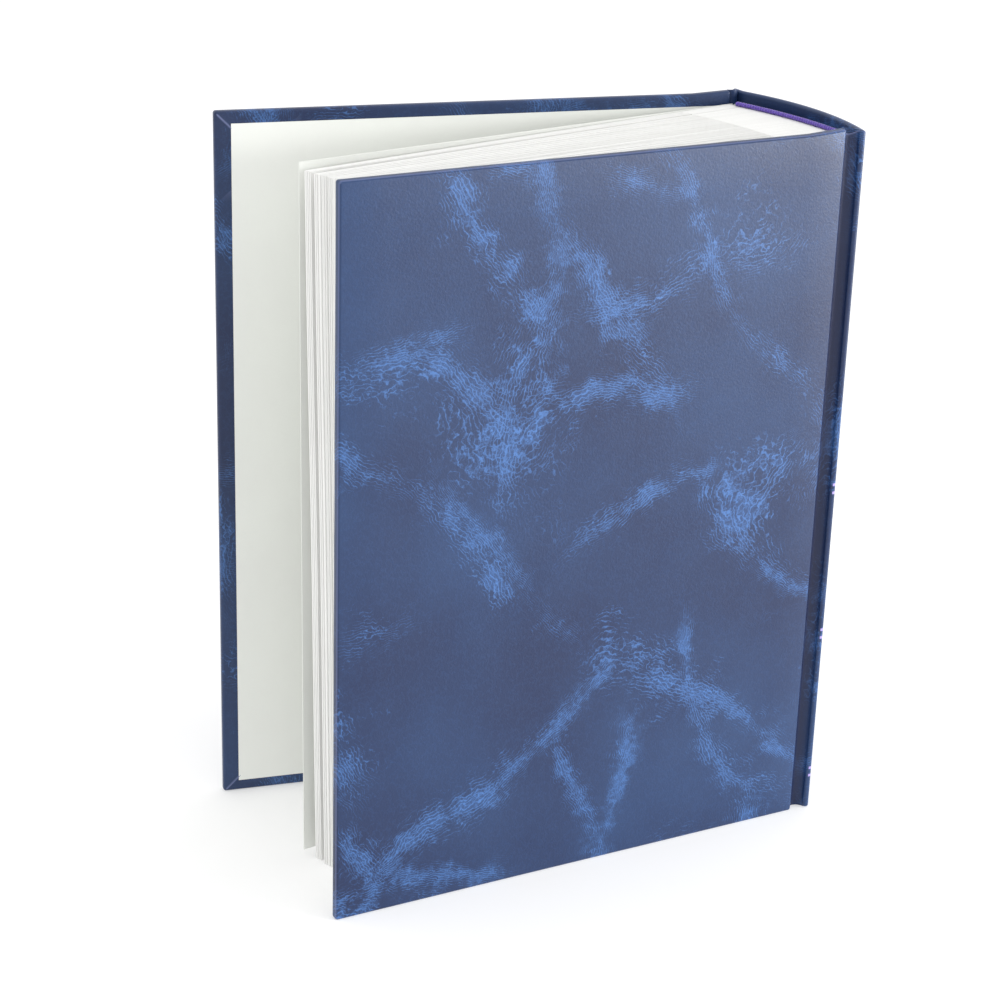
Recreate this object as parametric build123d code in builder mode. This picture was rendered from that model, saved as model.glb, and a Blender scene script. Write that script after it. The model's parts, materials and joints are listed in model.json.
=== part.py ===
"""Case-bound scrapbook album that stands on its tail with the front cover part open.

The case is two cloth-covered boards and a hollow rounded spine, joined by two cloth joints.
Card leaves are kept apart at the binding edge by card guards, sewn in sections, backed with
mull and lining paper and finished with a head band and a tail band. The block has sagged until
the fore-edge rests on the table, as a heavy block does in a standing album.

Plan coordinates: x runs from the fore-edge towards the spine, with 0 at the back cover's hinge
edge, and y runs from the back cover's outer face towards the front cover. z is height above
the table. Lengths are millimetres, angles are degrees.
"""

import os
from math import atan2, cos, degrees, radians, sin, sqrt

from build123d import *

# Case
cover_height = 225.0
cover_width = 162.4
board_t = 2.1
cloth_t = 0.45
turn_in = 15.0  # cloth folded over onto the inside of a board
cover_edge_r = 0.9
front_open = 19.2  # how far the front cover has turned from closed

# Spine of the case
card_t = 1.0
spine_rise = 5.3
spine_turn_in = 16.0
back_joint_width = 4.95
front_joint_width = 3.0
shoulder_proud = 0.4
front_shoulder_lead = 1.3  # front shoulder's centre ahead of the front cover's hinge edge
front_edge_lead = 2.8  # front cover's hinge edge nearer the spine than its leaf's binding edge
back_groove_depth = 2.4
front_groove_depth = 1.2
rule_t = 0.06
rule_height = 0.9
rule_pair_pitch = 2.7
rule_pair_heights = (11.6, 61.0, 110.5)

# Endpapers
paper_t = 0.25
fore_margin = 5.0
head_margin = 3.7
hinge_margin = 1.5  # from a cover's hinge edge to its pastedown
flyleaf_drop = 1.5
flyleaf_lean = 1.5
flyleaf_open = 2.09
fold_setback = 1.0  # from a cover's hinge edge to the fold that its flyleaf turns on

# Leaves
section_count = 11
leaves_per_section = 4
loose_leaves = 4
leaf_t = 0.58
leaf_length = 152.4
block_height = 219.0
square = 3.0  # how far the covers stand past the leaves at the binding edge
guard_t = 0.44
guard_width = 19.0
root_ease = 0.06
fore_ease = 0.04
sag_drop = 2.9  # how far the leaves' fore-edge has dropped
sag_lean = 4.0  # how far the fore-edge's head leans out past its tail
back_root_x = 3.6
front_root_x = -5.2
block_rise = 2.5
loose_open = 0.55

# Binding of the block
thread_t = 0.6
thread_rows = 6
mull_t = 0.4
mull_inset = 12.0
lining_t = 0.35
lining_inset = 4.0
layer_end_inset = 2.5
band_tape_t = 0.5
band_tape_height = 9.0
bead_width = 1.6
bead_height = 1.4
bead_r = 0.6

# Clearances
pivot_proud = 0.6  # a cover's hinge line stands this far outside its face
hinge_gap = 0.35  # from a cover's hinge edge to the joint cloth
body_gap = 0.28  # between flat pieces that move apart
root_gap = 0.2  # from the leaves' binding edges to what backs them
bead_gap = 0.1

# Sizes that follow from the ones above
leaf_count = section_count * leaves_per_section + loose_leaves
block_count = leaf_count - loose_leaves
root_pitch = leaf_t + guard_t + root_ease
cloth_wrap_t = 2 * cloth_t + board_t
cover_t = cloth_wrap_t + paper_t
wall_t = card_t + 2 * cloth_t
joint_t = cloth_t + paper_t
back_face_y = cover_t + 2 * body_gap + paper_t
front_face_y = back_face_y + leaf_count * root_pitch - guard_t - root_ease + body_gap
wedge = degrees((root_pitch - leaf_t - fore_ease) * (leaf_count - 1) / leaf_length)
rest_angle = front_open - wedge
mid_height = cover_height / 2


def along(angle):
    """Plan direction of a leaf or cover that has turned by angle towards the front."""
    return Vector(-cos(radians(angle)), sin(radians(angle)))


def outward(angle):
    """Plan normal, towards the front, of a leaf or cover at that angle."""
    return Vector(sin(radians(angle)), cos(radians(angle)))


class Bow:
    """A circular arc from start to end that bows out by rise to the right of that direction."""

    def __init__(self, start, end, rise):
        chord = Vector(end) - Vector(start)
        right = Vector(chord.Y, -chord.X).normalized()
        self.radius = chord.length**2 / (8 * rise) + rise / 2
        self.centre = (Vector(start) + Vector(end)) / 2 - right * (self.radius - rise)
        self.low = self.angle_to(start)
        self.high = self.angle_to(end)
        if self.high < self.low:
            self.high += 360

    def angle_to(self, point):
        """Angle of a plan point about the arc's centre."""
        spoke = Vector(point) - self.centre
        return degrees(atan2(spoke.Y, spoke.X))

    def x_at(self, y):
        """Where the arc crosses a given y, on the side that it bows to."""
        return self.centre.X + sqrt(self.radius**2 - (y - self.centre.Y) ** 2)


# The two arcs of the binding, and where the front cover is hinged
block_bow = Bow((back_root_x, back_face_y), (front_root_x, front_face_y), block_rise)


def root_y(index):
    """Where a leaf's binding edge lies, counted from the back leaf."""
    y = back_face_y + leaf_t / 2 + index * root_pitch
    return y if index < block_count else y + body_gap


def root(index):
    """Plan point of a leaf's binding edge."""
    return Vector(block_bow.x_at(root_y(index)), root_y(index))


def closed_angle(index):
    """Angle of a leaf in the closed album: the leaves fan in towards the fore-edge."""
    return -wedge * index / (leaf_count - 1)


front_leaf = root(leaf_count - 1)
front_stack = leaf_t / 2 + body_gap
front_pivot_depth = front_stack + paper_t + body_gap + cover_t + pivot_proud
front_pivot = front_leaf + outward(-wedge) * front_pivot_depth - along(-wedge) * front_edge_lead
front_edge = front_pivot - outward(rest_angle) * pivot_proud

back_shoulder = Vector(back_joint_width + wall_t / 2, wall_t / 2 - shoulder_proud)
front_shoulder = front_edge + Vector(front_joint_width + wall_t / 2, front_shoulder_lead)
case_bow = Bow(back_shoulder, front_shoulder, spine_rise)

# The origin is on the table under the middle of the whole album
corner_cut = cover_edge_r * (cos(radians(rest_angle)) + sin(radians(rest_angle)) - 1)
fore_corner = front_edge + along(rest_angle) * cover_width
low_x = fore_corner.X - cloth_wrap_t * outward(rest_angle).X + corner_cut
high_x = case_bow.centre.X + case_bow.radius + wall_t / 2 + rule_t
low_y = -shoulder_proud
high_y = fore_corner.Y - corner_cut
middle = Vector((low_x + high_x) / 2, (low_y + high_y) / 2)
base = Plane(origin=(-middle.X, -middle.Y, 0))


def placed(point, z=0.0):
    """A plan point as a point in space."""
    return Vector(point.X - middle.X, point.Y - middle.Y, z)


def turned(point, pivot, angle):
    """A plan point carried round a pivot, positive towards the front at the fore-edge."""
    return pivot + (point - pivot).rotate(Axis.Z, -angle)


def keep(piece, name):
    """Label a finished piece and write it to its file."""
    piece.part.label = name
    export_step(piece.part, f"parts/{name}.step")


def curved_strip(bow, inner, outer, bottom, height, end_inset=0.0):
    """An upright strip that follows a bow, between two offsets from its radius."""
    inset = degrees(end_inset / bow.radius)
    low = bow.low + inset
    sweep = bow.high - inset - low
    with BuildPart() as strip:
        with BuildSketch(base.offset(bottom)):
            with BuildLine():
                outside = CenterArc(bow.centre, bow.radius + outer, low, sweep)
                inside = CenterArc(bow.centre, bow.radius + inner, low, sweep)
                Line(outside @ 0, inside @ 0)
                Line(outside @ 1, inside @ 1)
            make_face()
        extrude(amount=height)
    return strip


def cover_plane(edge, direction, up):
    """Plane at a cover's hinge edge and mid-height: x to the fore-edge, y out of its face."""
    return Plane(origin=placed(edge, mid_height), x_dir=direction, z_dir=up)


def cover_slab(plane, start, end, outer, inner, margin):
    """A slab of a cover: its reach from the hinge edge, its depths and its head margin."""
    with BuildPart() as slab:
        with BuildSketch(plane):
            with Locations(((start + end) / 2, -(outer + inner) / 2)):
                Rectangle(end - start, inner - outer)
        extrude(amount=mid_height - margin, both=True)
    return slab


def build_cover(side, plane):
    """A board, the cloth wrapped round it and the pastedown on its inside."""
    board_face = cloth_t + board_t
    board = cover_slab(plane, 0, cover_width - cloth_t, cloth_t, board_face, cloth_t)
    keep(board, f"{side}_board")

    fore_axis = Axis(plane.origin, plane.x_dir)
    window_end = cover_width - turn_in
    window = cover_slab(plane, 0, window_end, board_face, cloth_wrap_t, turn_in)
    with BuildPart() as cloth:
        add(cover_slab(plane, 0, cover_width, 0, cloth_wrap_t, 0))
        hinge_end = cloth.faces().sort_by(fore_axis)[0]
        fillet(cloth.edges() - hinge_end.edges(), radius=cover_edge_r)
        add(board.part, mode=Mode.SUBTRACT)
        add(window.part, mode=Mode.SUBTRACT)
    keep(cloth, f"{side}_cover_cloth")

    sheet_end = cover_width - fore_margin
    dip = turn_in + paper_t
    with BuildPart() as pastedown:
        add(cover_slab(plane, hinge_margin, sheet_end, board_face, cover_t, head_margin))
        add(cover_slab(plane, 0, cover_width, board_face, cloth_wrap_t, 0), mode=Mode.SUBTRACT)
        add(cover_slab(plane, hinge_margin, window_end, board_face, cloth_wrap_t, turn_in))
        pocket = cover_slab(plane, 0, cover_width - dip, board_face + paper_t, cover_t, dip)
        add(pocket.part, mode=Mode.SUBTRACT)
    keep(pastedown, f"{side}_pastedown")


def build_spine():
    """The hollow back: a card inside cloth that is turned in at the head and tail."""
    half_wall = wall_t / 2
    half_card = card_t / 2
    card = curved_strip(case_bow, -half_card, half_card, cloth_t, cover_height - 2 * cloth_t)
    keep(card, "spine_card")

    window_height = cover_height - 2 * spine_turn_in
    window = curved_strip(case_bow, -half_wall, -half_card, spine_turn_in, window_height)
    with BuildPart() as cloth:
        add(curved_strip(case_bow, -half_wall, half_wall, 0, cover_height))
        with BuildSketch(base):
            with Locations(back_shoulder, front_shoulder):
                Circle(half_wall)
        extrude(amount=cover_height)
        add(card.part, mode=Mode.SUBTRACT)
        add(window.part, mode=Mode.SUBTRACT)
    keep(cloth, "spine_cloth")

    with BuildPart() as rules:
        for pair_height in rule_pair_heights:
            for side in (-1, 1):
                bottom = pair_height + side * rule_pair_pitch / 2 - rule_height / 2
                add(curved_strip(case_bow, half_wall, half_wall + rule_t, bottom, rule_height))
    keep(rules, "spine_rules")
    return cloth, card


def build_joint(side, start, end, depth, spine):
    """The cloth of one joint, sunk between cover and spine, and the endpaper that lines it."""
    groove = Bow(start, end, depth)
    with BuildPart() as cloth:
        add(curved_strip(groove, 0, cloth_t, 0, cover_height))
        for wall in spine:
            add(wall.part, mode=Mode.SUBTRACT)
    keep(cloth, f"{side}_joint_cloth")

    with BuildPart() as paper:
        paper_height = cover_height - 2 * head_margin
        add(curved_strip(groove, cloth_t, joint_t, head_margin, paper_height))
        for wall in spine:
            add(wall.part, mode=Mode.SUBTRACT)
    keep(paper, f"{side}_joint_paper")


def leaf_plane(point, angle):
    """Plane of a leaf: x from its binding edge to the fore-edge, y up, z to the front."""
    return Plane(origin=placed(point), x_dir=along(angle), z_dir=outward(angle))


def leaf_corners(width, drop, lean):
    """Outline of a sagged leaf: both ends drop and the head leans out with the width."""
    head = square + block_height
    return [(0, square), (0, head), (width, head - drop), (width - lean, square - drop)]


def build_leaves(name, first, last, pivot, opened):
    """A run of leaves as one group of separate sheets, turned round a pivot."""
    corners = leaf_corners(leaf_length, sag_drop, sag_lean)
    with BuildPart() as leaves:
        for index in range(first, last):
            place = turned(root(index), pivot, opened)
            with BuildSketch(leaf_plane(place, closed_angle(index) + opened)):
                Polygon(*corners, align=None)
            extrude(amount=leaf_t / 2, both=True)
    keep(leaves, name)


def build_guards(name, first, last, pivot, opened):
    """The card guards behind a run of leaves. The back leaf has none behind it."""
    share = guard_width / leaf_length
    corners = leaf_corners(guard_width, sag_drop * share, sag_lean * share)
    with BuildPart() as guards:
        for index in range(max(first, 1), last):
            y = root_y(index) - root_pitch / 2
            place = turned(Vector(block_bow.x_at(y), y), pivot, opened)
            angle = (closed_angle(index) + closed_angle(index - 1)) / 2 + opened
            with BuildSketch(leaf_plane(place, angle)):
                Polygon(*corners, align=None)
            extrude(amount=guard_t / 2, both=True)
    keep(guards, name)


def build_block():
    """The sewn sections that stay with the spine, and the loose leaves in front of them."""
    for section in range(section_count):
        first = section * leaves_per_section
        last = first + leaves_per_section
        build_leaves(f"section_{section + 1:02d}", first, last, front_leaf, 0)
        build_guards(f"guards_{section + 1:02d}", first, last, front_leaf, 0)
    build_leaves("loose_leaves", block_count, leaf_count, front_leaf, loose_open)
    build_guards("loose_guards", block_count, leaf_count, front_leaf, loose_open)


def build_flyleaf(name, fold, angle, length):
    """The free half of an endpaper, from the fold that it turns on."""
    with BuildPart() as flyleaf:
        with BuildSketch(leaf_plane(fold, angle)):
            Polygon(*leaf_corners(length, flyleaf_drop, flyleaf_lean), align=None)
        extrude(amount=paper_t / 2, both=True)
    keep(flyleaf, name)


def build_backing():
    """What holds the leaves together behind: threads, mull, lining and the two bands."""
    head = square + block_height
    with BuildPart() as threads:
        for row in range(thread_rows):
            height = square + block_height * (row + 1) / (thread_rows + 1)
            outer = root_gap + thread_t
            add(curved_strip(block_bow, root_gap, outer, height, thread_t, layer_end_inset))
    keep(threads, "sewing_threads")

    mull_inner = root_gap + thread_t
    mull_outer = mull_inner + mull_t
    mull_height = block_height - 2 * mull_inset
    mull_bottom = square + mull_inset
    mull = curved_strip(
        block_bow, mull_inner, mull_outer, mull_bottom, mull_height, layer_end_inset
    )
    keep(mull, "mull")

    lining_outer = mull_outer + lining_t
    lining_height = block_height - 2 * lining_inset
    lining_bottom = square + lining_inset
    lining = curved_strip(
        block_bow, mull_outer, lining_outer, lining_bottom, lining_height, layer_end_inset
    )
    keep(lining, "spine_lining")

    tape_outer = root_gap + band_tape_t
    bead_inner = tape_outer - bead_width
    for name, end, up in (("head_band", head, 1), ("tail_band", square, -1)):
        tape_bottom = min(end + up * bead_gap, end - up * band_tape_height)
        tape_height = band_tape_height + bead_gap
        bead_bottom = min(end + up * bead_gap, end + up * (bead_gap + bead_height))
        with BuildPart() as band:
            add(curved_strip(block_bow, bead_inner, tape_outer, bead_bottom, bead_height))
            rim = band.edges().group_by(Axis.Z)[-1 if up > 0 else 0]
            fillet(rim.filter_by(GeomType.CIRCLE), radius=bead_r)
            add(curved_strip(block_bow, root_gap, tape_outer, tape_bottom, tape_height))
        keep(band, name)


def main():
    os.makedirs("parts", exist_ok=True)
    build_cover("back", cover_plane(Vector(0, 0), (-1, 0, 0), (0, 0, 1)))
    build_cover("front", cover_plane(front_edge, along(rest_angle), (0, 0, -1)))
    spine = build_spine()

    back_start = Vector(back_joint_width, shoulder_proud)
    back_end = Vector(hinge_gap + joint_t, shoulder_proud)
    build_joint("back", back_start, back_end, back_groove_depth - shoulder_proud, spine)
    front_start = front_edge + Vector(hinge_gap + joint_t, 0)
    front_end = front_edge + Vector(front_joint_width, front_shoulder_lead / 2)
    build_joint("front", front_start, front_end, front_groove_depth, spine)

    build_block()
    build_backing()

    fold_depth = outward(-wedge) * (front_stack + paper_t / 2)
    front_fold = front_leaf + fold_depth - along(-wedge) * (front_edge_lead - fold_setback)
    front_length = leaf_length + front_edge_lead - fold_setback
    build_flyleaf("front_flyleaf", front_fold, flyleaf_open - wedge, front_length)
    back_fold = Vector(-fold_setback, cover_t + body_gap + paper_t / 2)
    back_length = leaf_length - (back_root_x - back_fold.X)
    build_flyleaf("back_flyleaf", back_fold, 0, back_length)


main()
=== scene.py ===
"""Dresses a case-bound scrapbook album that stands on its tail with the front cover part open.

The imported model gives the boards, leaves and joints their places. The covering, endpapers,
leaves and bands are modelled here as they are made: cloth turned in over the boards and mitred
at the corners, paper that has taken on a little moisture, silk wound over a core.
"""

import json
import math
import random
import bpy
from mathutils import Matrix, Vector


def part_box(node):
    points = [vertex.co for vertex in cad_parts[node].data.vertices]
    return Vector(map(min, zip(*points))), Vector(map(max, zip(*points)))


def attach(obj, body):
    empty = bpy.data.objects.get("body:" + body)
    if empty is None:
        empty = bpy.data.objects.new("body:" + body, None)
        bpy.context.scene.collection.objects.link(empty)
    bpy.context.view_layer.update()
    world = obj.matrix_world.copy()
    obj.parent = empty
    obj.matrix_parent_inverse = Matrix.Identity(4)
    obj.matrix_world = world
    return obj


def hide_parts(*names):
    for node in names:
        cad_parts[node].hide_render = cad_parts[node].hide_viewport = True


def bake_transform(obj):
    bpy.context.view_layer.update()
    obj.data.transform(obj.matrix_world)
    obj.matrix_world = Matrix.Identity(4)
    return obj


bl_info = {
    "name": "Scrapbook album",
    "version": (1, 0, 0),
    "blender": (4, 5, 0),
    "location": "View3D > Sidebar > Album",
    "description": "Covering, endpapers, leaves and bands of a case-bound scrapbook album",
    "category": "Object",
}

import bmesh
import bpy
import numpy as np
from mathutils import Matrix, Vector, noise

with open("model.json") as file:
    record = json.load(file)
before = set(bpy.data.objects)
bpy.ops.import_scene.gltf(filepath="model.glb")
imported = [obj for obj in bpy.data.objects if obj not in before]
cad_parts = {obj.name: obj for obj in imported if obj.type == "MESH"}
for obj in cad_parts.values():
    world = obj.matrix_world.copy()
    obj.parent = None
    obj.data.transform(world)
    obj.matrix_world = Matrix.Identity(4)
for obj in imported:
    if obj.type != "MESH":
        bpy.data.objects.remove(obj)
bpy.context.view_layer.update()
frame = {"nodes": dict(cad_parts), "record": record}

MM = 0.001
SIDES = ("back", "front")
SECTIONS = tuple(sorted(n for n in frame["nodes"] if n.startswith("section_")))
GUARDS = tuple(sorted(n for n in frame["nodes"] if "guards" in n))

# Places that everything else is worked out from
cloth_low, cloth_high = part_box("back_cover_cloth")
COVER = cloth_high - cloth_low  # width, thickness over the cloth, height
PLAN_ORIGIN = Vector((cloth_high.x, cloth_low.y, 0.0))  # back cover's hinge edge, outer face
HEIGHT = COVER.z
LEAF_LOW, LEAF_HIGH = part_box("section_01")
BLOCK_ROOT_X = LEAF_HIGH.x
LEAF_REACH = LEAF_HIGH.x - LEAF_LOW.x
LEAF_STACK = 32 * MM  # depth of the leaves at the fore-edge

# Margins of the endpapers inside the covers' edges
HINGE_MARGIN, FORE_MARGIN, END_MARGIN = 1.5 * MM, 5.0 * MM, 3.7 * MM

MERGE = 0.002 * MM  # points nearer than this are one
NEAR = 0.02 * MM  # and nearer than this are at the same place, when faces are picked


def linear(code):
    """An sRGB hex colour as linear red, green, blue and alpha."""
    parts = [int(code[i : i + 2], 16) / 255 for i in (1, 3, 5)]
    parts = [v / 12.92 if v <= 0.04045 else ((v + 0.055) / 1.055) ** 2.4 for v in parts]
    return (*parts, 1.0)


def length(mm, name, description):
    """A length property, given in millimetres and kept in metres."""
    return bpy.props.FloatProperty(
        name=name, description=description, default=mm * MM, unit="LENGTH", precision=5
    )


def colour(code, name, description):
    """A colour property, given as an sRGB hex code."""
    return bpy.props.FloatVectorProperty(
        name=name,
        description=description,
        subtype="COLOR",
        size=4,
        min=0,
        max=1,
        default=linear(code),
    )


class AlbumSizes(bpy.types.PropertyGroup):
    """Sizes of what is dressed here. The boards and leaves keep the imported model's sizes."""

    edge_radius: length(0.85, "Board edge radius", "Rounding of the covered board's edges")
    turn_in: length(15.0, "Turn-in", "Width of the cloth folded over inside a board")
    spine_turn_in: length(16.0, "Spine turn-in", "Depth of the cloth folded into the hollow back")
    skin: length(0.42, "Covering thickness", "Thickness of the covering material")
    paper: length(0.25, "Endpaper thickness", "Thickness of the endpapers")
    mitre_ridge: length(0.38, "Mitre ridge", "How far the corner seam stands out of the turn-ins")
    cover_wave: length(0.07, "Cover wave", "How far the covered faces stray from flat")
    joint_lip: length(0.8, "Joint lip", "How far the turned-in cloth stands up beside a cover")
    joint_dip: length(1.4, "Joint dip", "How far the back joint's rim sinks between its two lips")
    joint_pocket: length(1.5, "Joint pocket", "How far the turned-in cloth stands off at the head")
    joint_fold: length(0.7, "Joint fold", "Thickness of the joint's cloth where it is turned in")
    leaf_wave: length(0.2, "Leaf wave", "Cockle at the fore-edge of the front leaf")
    leaf_stray: length(0.2, "Leaf stray", "How far single leaves stand out of line")
    leaf_fan: length(1.4, "Leaf fan", "How far the front sections slip towards the fore-edge")
    flyleaf_warp: length(0.3, "Flyleaf warp", "How far the loose endpaper curls")
    rule_rise: length(1.6, "Rule rise", "How far the rules stand above their packed places")
    stitch_pitch: length(1.05, "Stitch pitch", "Spacing of the silk turns on the bands")


class AlbumColours(bpy.types.PropertyGroup):
    """Colours of the album's materials."""

    navy: colour("#1f3860", "Navy", "Ground of the covering")
    deep: colour("#15264b", "Deep navy", "Darker clouds in the ground")
    vein: colour("#416ba7", "Vein", "Fibres printed on the covering")
    # Painted shade: this dark colour stands in for the shade in the joints' grooves
    groove: colour("#0b1640", "Groove", "The covering where it is pressed into a groove")
    # Painted highlight: this pale colour stands in for the light caught on the covering's rounded
    # rims and seams
    rubbed: colour("#7e88b4", "Rubbed edge", "The covering where its print has worn")
    endpaper: colour("#eef0eb", "Endpaper", "Pastedowns and flyleaves")
    leaf: colour("#f3f3f1", "Leaf card", "The leaves")
    leaf_edge: colour("#e7e7e4", "Leaf edge", "The darker of the leaves")
    guard: colour("#f2f2f0", "Guard card", "The strips between the leaves")
    silk: colour("#6d4fc0", "Silk", "The head and tail bands")
    silk_shade: colour("#4a2f93", "Silk shade", "Between the turns of silk")
    foil: colour("#a79ad8", "Foil", "The rules stamped on the spine")
    grey_board: colour("#8e8a82", "Grey board", "The boards and the spine's card")
    kraft: colour("#a98a63", "Kraft paper", "The lining of the block's back")
    mull: colour("#d8d2c0", "Mull", "The open cotton glued on the block's back")
    thread: colour("#ddd6c2", "Thread", "The linen sewing")
    floor: colour("#d8d8d8", "Floor", "The sweep that the album stands on")


def sizes():
    """The sizes as the panel shows them."""
    return bpy.context.scene.album_sizes


def colours():
    """The colours as the panel shows them."""
    return bpy.context.scene.album_colours


def per(mm):
    """A texture's scale for a pattern of that size in millimetres."""
    return 1 / (mm * MM)


# Modelling, as by hand


def clear_selection():
    """Leave nothing selected, so that the next operator acts on its own object."""
    bpy.ops.object.select_all(action="DESELECT")


def take(piece):
    """Make one object the selected and active one."""
    clear_selection()
    piece.select_set(True)
    bpy.context.view_layer.objects.active = piece
    return piece


def settle(piece, place=None):
    """Put a piece at its place, with the place in its mesh and the object at the origin."""
    take(piece)
    if place is not None:
        piece.matrix_world = place @ piece.matrix_world
    bpy.ops.object.transform_apply(location=True, rotation=True, scale=True)
    return piece


def begin_box(name, low, high):
    """A box between two corners."""
    low, high = Vector(low), Vector(high)
    clear_selection()
    bpy.ops.mesh.primitive_cube_add(size=1, location=(low + high) / 2)
    piece = bpy.context.object
    piece.name = piece.data.name = name
    piece.scale = high - low
    return settle(piece)


def begin_upright(name, width, height, location, turn=0.0):
    """An upright rectangle whose width runs along X, or along X turned about Z."""
    clear_selection()
    bpy.ops.mesh.primitive_plane_add(size=1, location=location, rotation=(math.pi / 2, 0, turn))
    piece = bpy.context.object
    piece.name = piece.data.name = name
    piece.scale = (width, height, 1)
    return settle(piece)


def copy_node(node, name):
    """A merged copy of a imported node, with its own mesh."""
    source = frame["nodes"][node]
    piece = bpy.data.objects.new(name, source.data.copy())
    piece.data.name = name
    bpy.context.scene.collection.objects.link(piece)
    piece.data.materials.clear()
    edit(piece)
    bpy.ops.mesh.select_all(action="SELECT")
    bpy.ops.mesh.remove_doubles(threshold=MERGE)
    bpy.ops.mesh.dissolve_limited(angle_limit=math.radians(0.5))
    finish_edit()
    return piece


def edit(piece):
    """Open a piece in edit mode."""
    take(piece)
    bpy.ops.object.mode_set(mode="EDIT")


def finish_edit():
    """Back to object mode."""
    bpy.ops.object.mode_set(mode="OBJECT")


def pick(kind, test):
    """In edit mode, select only the vertices, edges or faces that pass a test."""
    bpy.ops.mesh.select_mode(type={"verts": "VERT", "edges": "EDGE", "faces": "FACE"}[kind])
    bpy.ops.mesh.select_all(action="DESELECT")
    data = bpy.context.edit_object.data
    mesh = bmesh.from_edit_mesh(data)
    for element in getattr(mesh, kind):
        if test(element):
            element.select_set(True)
    mesh.select_flush_mode()
    bmesh.update_edit_mesh(data)


def cut_at(point, normal):
    """In edit mode, cut the whole mesh along a plane."""
    bpy.ops.mesh.select_all(action="SELECT")
    bpy.ops.mesh.bisect(plane_co=point, plane_no=normal)


def cut_rows(axis, stations):
    """In edit mode, cut the whole mesh at each station along an axis."""
    for station in stations:
        normal = Vector((0, 0, 0))
        normal[axis] = 1
        cut_at(normal * station, normal)


def spaced(low, high, count):
    """Evenly spaced stations between two ends, without the ends."""
    return [low + (high - low) * (i + 1) / (count + 1) for i in range(count)]


def sweep(piece, *turns, axis):
    """Sweep a section round one centre after another, as steps, angle and centre in turn.

    The axis is -1 for a sweep anticlockwise from above, and 1 for a clockwise one.
    """
    edit(piece)
    bpy.ops.mesh.select_all(action="SELECT")
    for steps, angle, centre in turns:
        bpy.ops.mesh.spin(steps=steps, angle=angle, center=centre, axis=(0, 0, axis))
    bpy.ops.mesh.select_all(action="SELECT")
    bpy.ops.mesh.remove_doubles(threshold=MERGE)
    bpy.ops.mesh.normals_make_consistent(inside=False)
    finish_edit()


def thicken(piece, thickness, even=True):
    """Give a surface its thickness, inwards. Even walls would spike at tight folds."""
    take(piece)
    modifier = piece.modifiers.new("thickness", "SOLIDIFY")
    modifier.thickness = thickness
    modifier.offset = -1.0
    modifier.use_even_offset = even
    bpy.ops.object.modifier_apply(modifier=modifier.name)


def smooth(piece, degrees_limit):
    """Smooth shading, with the sharper edges kept."""
    take(piece)
    bpy.ops.object.shade_smooth_by_angle(angle=math.radians(degrees_limit))


def move_vertices(piece, shift):
    """Move each vertex by what a function of its place gives."""
    for vertex in piece.data.vertices:
        vertex.co += shift(vertex.co.copy())
    piece.data.update()


def wander(point, size_mm, seed=0.0):
    """A smooth random value from -1 to 1 that varies over a size in millimetres."""
    return noise.noise(point * per(size_mm) + Vector((seed, seed * 0.7, -seed)))


def ease(t):
    """0 to 1 with a gentle start and end."""
    t = min(max(t, 0.0), 1.0)
    return t * t * (3 - 2 * t)


def paint(piece, name, share):
    """Give each vertex a share from 0 to 1, worked out from its place, for a material to read."""
    layer = piece.data.attributes.new(name, "FLOAT", "POINT")
    for vertex in piece.data.vertices:
        layer.data[vertex.index].value = share(vertex.co)


def finish_piece(piece, finish, node, body=None, place=None, angle=35):
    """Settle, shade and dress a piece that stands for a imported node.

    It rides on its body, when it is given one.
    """
    settle(piece, place)
    smooth(piece, angle)
    piece.data.materials.clear()
    piece.data.materials.append(material(finish))
    if body:
        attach(piece, body)
    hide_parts(node)


# Nodes and materials

NOISE, RANGE, MATHS = "ShaderNodeTexNoise", "ShaderNodeMapRange", "ShaderNodeMath"
VECTOR, MIX, BUMP = "ShaderNodeVectorMath", "ShaderNodeMix", "ShaderNodeBump"
ATTRIBUTE = "ShaderNodeAttribute"
SHARE, FIRST, SECOND = 0, 6, 7  # a colour mix's inputs
MIXED = 2  # its result


def add_node(tree, kind, inputs, output=0, **settings):
    """Add a node with its settings, give or link each input, and hand on one output."""
    node = tree.nodes.new(kind)
    for key, value in settings.items():
        setattr(node, key, value)
    for key, value in inputs.items():
        if isinstance(value, bpy.types.NodeSocket):
            tree.links.new(value, node.inputs[key])
        else:
            node.inputs[key].default_value = value
    return node.outputs[output]


def begin_material(name, roughness, specular=0.5):
    """A new material: its tree, its shader and the place of the surface in the album."""
    material = bpy.data.materials.new(name)
    material.use_nodes = True
    tree = material.node_tree
    shader = tree.nodes["Principled BSDF"]
    shader.inputs["Roughness"].default_value = roughness
    shader.inputs["Specular IOR Level"].default_value = specular
    place = add_node(tree, "ShaderNodeTexCoord", {}, "Object")
    return material, tree, shader, place


def finish_material(tree, shader, base, height, depth_mm, strength):
    """Link the colour, and raise the surface by a height from 0 to 1 times a depth."""
    tree.links.new(base, shader.inputs["Base Color"])
    inputs = {"Height": height, "Strength": strength, "Distance": depth_mm * MM}
    tree.links.new(add_node(tree, BUMP, inputs), shader.inputs["Normal"])


def distance_to_line(tree, course):
    """How far a running value is from the middle between two whole numbers."""
    part = add_node(tree, MATHS, {0: course}, operation="FRACT")
    away = add_node(tree, MATHS, {0: part, 1: 0.5}, operation="SUBTRACT")
    return add_node(tree, MATHS, {0: away}, operation="ABSOLUTE")


def fibre_lines(tree, course, wide, fine, per_band, spread, width):
    """Fine lines along a band: each is where a drifting count of lines passes a whole number."""
    count = add_node(tree, MATHS, {0: course, 1: per_band}, operation="MULTIPLY")
    count = add_node(tree, MATHS, {0: wide, 1: spread, 2: count}, operation="MULTIPLY_ADD")
    count = add_node(tree, MATHS, {0: fine, 1: 1.8, 2: count}, operation="MULTIPLY_ADD")
    away = distance_to_line(tree, count)
    return add_node(tree, RANGE, {"Value": away, "From Min": width, "From Max": 0.02})


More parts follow.
